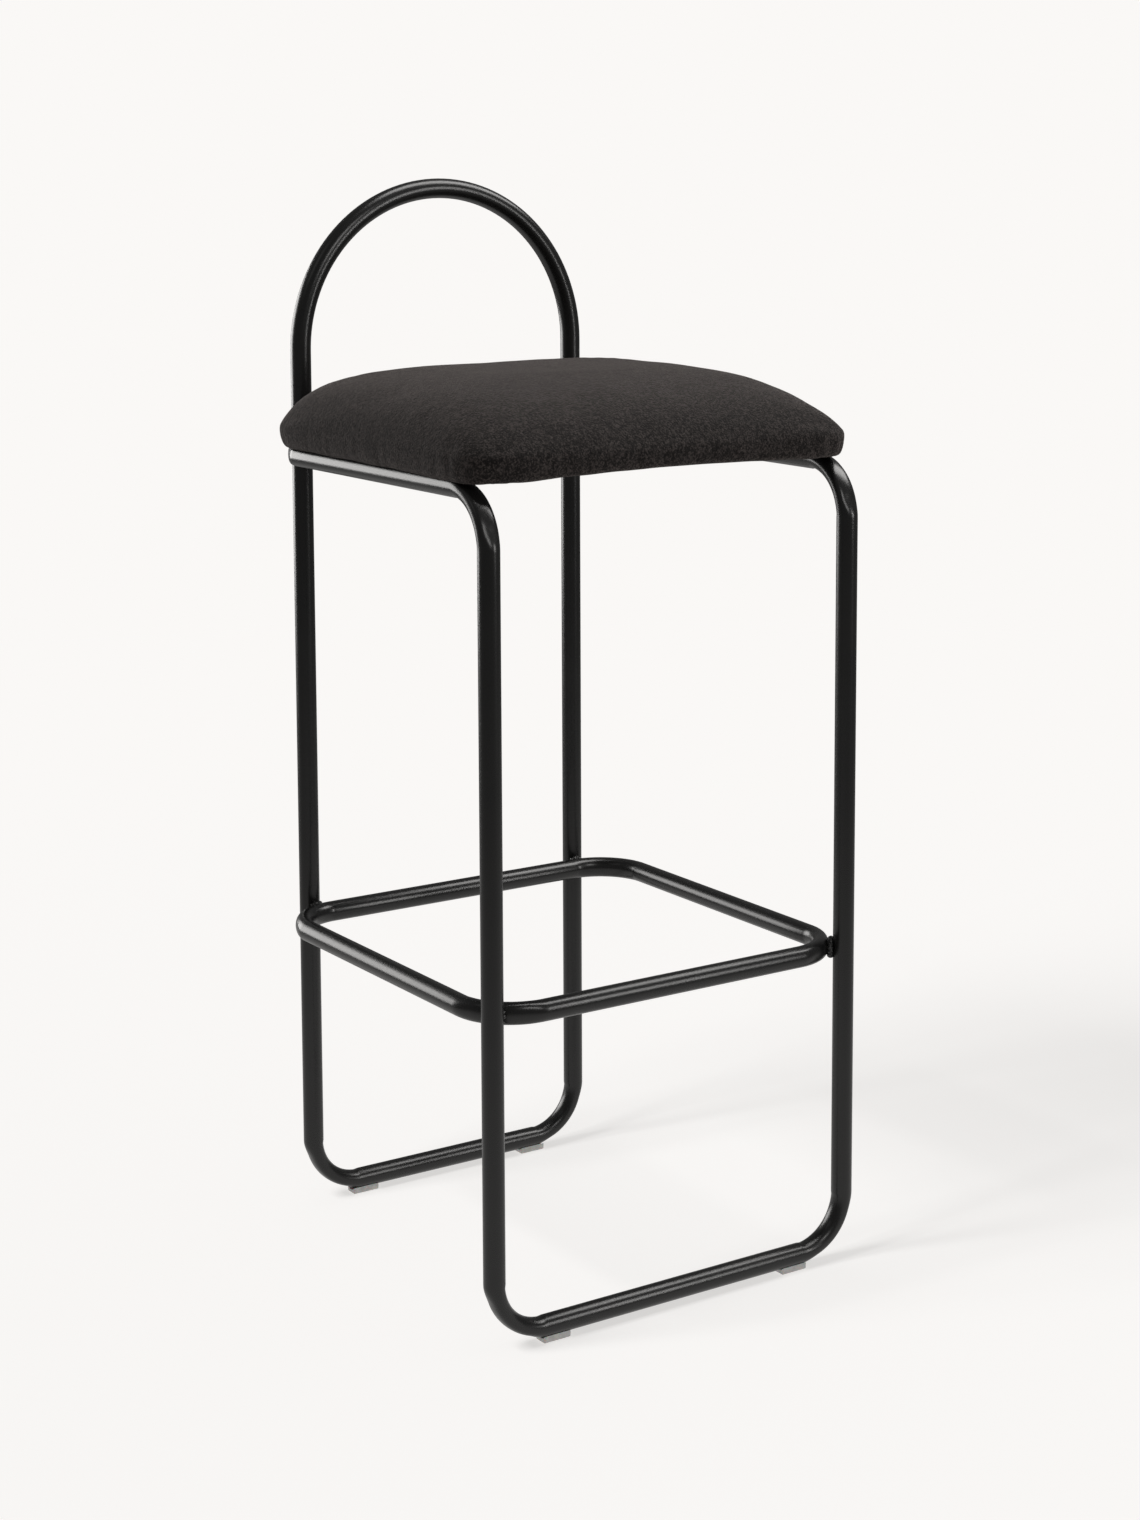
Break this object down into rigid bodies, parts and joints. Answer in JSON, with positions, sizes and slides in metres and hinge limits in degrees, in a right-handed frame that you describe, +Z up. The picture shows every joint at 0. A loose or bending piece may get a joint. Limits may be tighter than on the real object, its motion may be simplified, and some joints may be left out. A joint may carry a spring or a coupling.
{
  "type": "bar stool",
  "caption": "Bar stool of bent black tube with a round hoop back, an upholstered seat pad and a footrest ring.",
  "frame": {"origin": "on the floor, under the centre of the stool's overall box", "axes": "+Z up, the stool faces -Y with the hoop back at +Y, +X to the right when looking along +Y"},
  "size_m": [0.379, 0.39, 0.928],
  "materials": {
    "frame": "satin",
    "weld": "satin",
    "upholstery": "matte",
    "lining": "matte",
    "foam": "matte",
    "board": "matte",
    "glide": "satin",
    "fixings": "satin"
  },
  "bodies": {
    "root": {"foam_pad": "foam", "footrest_ring": "frame", "front_frame": "frame", "glide_front_left": "glide", "glide_front_right": "glide", "glide_rear_left": "glide", "glide_rear_right": "glide", "rear_frame_with_hoop": "frame", "seat_board": "board", "seat_cover": "upholstery", "seat_screw_front_left": "fixings", "seat_screw_front_right": "fixings", "seat_screw_rear_left": "fixings", "seat_screw_rear_right": "fixings", "seat_tab_front_left": "frame", "seat_tab_front_right": "frame", "seat_tab_rear_left": "frame", "seat_tab_rear_right": "frame", "tee_nut_front_left": "fixings", "tee_nut_front_right": "fixings", "tee_nut_rear_left": "fixings", "tee_nut_rear_right": "fixings", "underside_lining": "lining", "washer_front_left": "fixings", "washer_front_right": "fixings", "washer_rear_left": "fixings", "washer_rear_right": "fixings", "weld_footrest_front_left": "weld", "weld_footrest_front_right": "weld", "weld_footrest_rear_left": "weld", "weld_footrest_rear_right": "weld", "weld_seat_rear_left": "weld", "weld_seat_rear_right": "weld"}
  },
  "joints": []
}
